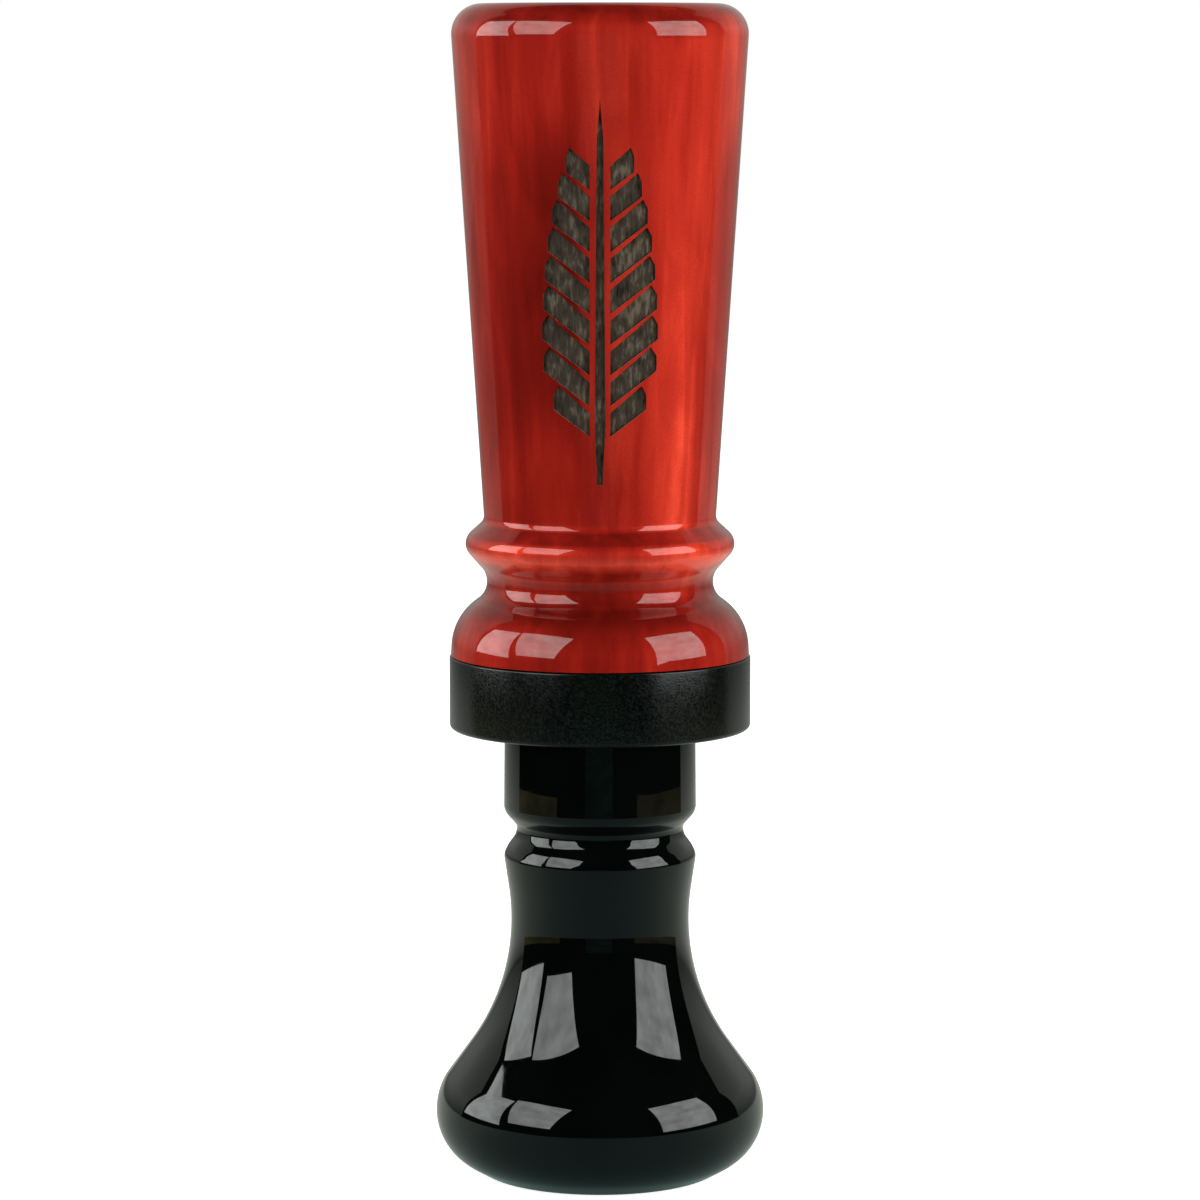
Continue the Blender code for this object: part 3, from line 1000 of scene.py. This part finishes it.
def add_paper():
    """The paper sweep that the gloss mirrors: near floor, far floor and the wall behind."""
    look = Look("paper_near")
    away = look.node("ShaderNodeVectorMath", {"operation": "NORMALIZE"}, Vector=look.place)
    behind = look.math("MULTIPLY_ADD", look.part(away.outputs["Vector"], "Y"), 0.5, 0.5)
    paper = graded_glow(look, behind, PAPER_NEAR)
    near = stage_object("paper_near", disc(PAPER_FRONT_RADIUS, 0), paper, glossy=True, diffuse=True)
    near.location.z = PAPER_HEIGHT
    for name, from_azimuth, to_azimuth, strength in PAPER_BEHIND:
        look = Look(name)
        share = look.math("DIVIDE", length_from_axis(look), PAPER_BACK_RADIUS)
        paper = graded_glow(look, share, tinted([*PAPER_BEHIND_STRENGTH, (PAPER_FAR, strength)]))
        rows = [(PAPER_FRONT_RADIUS, PAPER_HEIGHT), (PAPER_BACK_RADIUS, PAPER_HEIGHT)]
        sheet = sweep(rows, from_azimuth, to_azimuth, 16)
        stage_object(name, sheet, paper, glossy=True, diffuse=True)
    look = Look("paper_wall")
    share = look.math("DIVIDE", look.part(look.place, "Z"), PAPER_WALL_HEIGHT)
    paper = graded_glow(look, share, tinted(PAPER_WALL))
    rows = [(PAPER_BACK_RADIUS, 0), (PAPER_BACK_RADIUS, PAPER_WALL_HEIGHT)]
    wall = sweep(rows, *PAPER_WALL_AZIMUTHS, 24)
    stage_object("paper_wall", wall, paper, glossy=True, diffuse=True)


def add_table():
    """Faint strips past the near paper, which only the gloss shows."""
    for name, from_azimuth, to_azimuth, radius, colour in TABLE_STRIPS:
        rows = [(PAPER_FRONT_RADIUS, TABLE_HEIGHT), (radius, TABLE_HEIGHT)]
        strip = sweep(rows, from_azimuth, to_azimuth, 12)
        stage_object(name, strip, glow(name, colour, 1.0, TABLE_MOTTLE), glossy=True)


def add_floor():
    """A white floor and background for the camera, the floor's glow dimmed at the object's foot in a
    painted shadow.
    """
    floor = Look("floor_white", Roughness=0.9, Base_Color=(0.8, 0.8, 0.8, 1))
    floor.shader.inputs["Emission Color"].default_value = (1, 1, 1, 1)
    away = length_from_axis(floor)
    # Painted shadow: the floor glows less near the object's foot
    shade = floor.node("ShaderNodeMapRange", {"interpolation_type": "SMOOTHSTEP"}, Value=away)
    shade.inputs["From Max"].default_value = FLOOR_WHITE_FROM
    shade.inputs["To Min"].default_value = FLOOR_GLOW_IN_PAINTED_SHADOW
    floor.set(Emission_Strength=shade.outputs["Result"])
    stage_object("floor", disc(FLOOR_RADIUS, FLOOR_HEIGHT), floor.material, camera=True)
    bm = bmesh.new()
    bmesh.ops.create_uvsphere(bm, u_segments=48, v_segments=24, radius=FLOOR_RADIUS + 0.2)
    stage_object("backdrop", bm, glow("backdrop", (1, 1, 1), 1.0), camera=True)


def softbox(name, distance, strength, corners):
    """An uneven panel of light between four corners, in degrees from the front and from level, as
    the bell sees them."""
    bm = bmesh.new()
    verts = []
    for turn, rise in corners:
        turn = math.radians(turn)
        rise = math.tan(math.radians(rise))
        place = Vector((math.sin(turn), -math.cos(turn), rise)) * distance
        verts.append(bm.verts.new(place + Vector((0, 0, SOFTBOX_SEEN_FROM))))
    bm.faces.new(verts)
    light = glow(name, SOFTBOX_COLOUR, strength, SOFTBOX_MOTTLE)
    stage_object(name, bm, light, glossy=True, diffuse=True)


def fill_light(name, turn, rise, distance, size, power):
    """A broad light that the gloss doesn't mirror, at an azimuth and elevation in degrees."""
    data = bpy.data.lights.new(name, "AREA")
    data.size = size
    data.energy = power
    light = bpy.data.objects.new(name, data)
    turn = math.radians(turn)
    rise = math.radians(rise)
    out = Vector((math.sin(turn) * math.cos(rise), -math.cos(turn) * math.cos(rise), math.sin(rise)))
    light.location = Vector((0, 0, FILL_AIM)) + out * distance
    light.rotation_euler = out.to_track_quat("Z", "Y").to_euler()
    light.visible_glossy = False
    light.visible_camera = False
    bpy.context.collection.objects.link(light)


def add_lights():
    for box in SOFTBOXES:
        softbox(*box)
    fill_light("fill_right", turn=36, rise=4, distance=0.7, size=0.30, power=2.6)
    fill_light("fill_front", turn=-5, rise=12, distance=0.8, size=0.45, power=1.4)
    white = glow("fill_floor", (1, 1, 1), FILL_FLOOR_STRENGTH)
    stage_object("fill_floor", disc(PAPER_FRONT_RADIUS, FILL_HEIGHT), white, diffuse=True)
    world = bpy.data.worlds.new("world")
    world.use_nodes = True
    grey = (WORLD_GREY, WORLD_GREY, WORLD_GREY, 1)
    world.node_tree.nodes["Background"].inputs["Color"].default_value = grey
    bpy.context.scene.world = world


def build():
    add_camera()
    add_floor()
    add_paper()
    add_table()
    add_lights()
    make_barrel()
    make_band()
    make_insert()
    make_o_rings()
    make_toneboard()
    make_reed()
    make_wedge()
    bpy.context.scene.view_settings.view_transform = "Standard"


build()
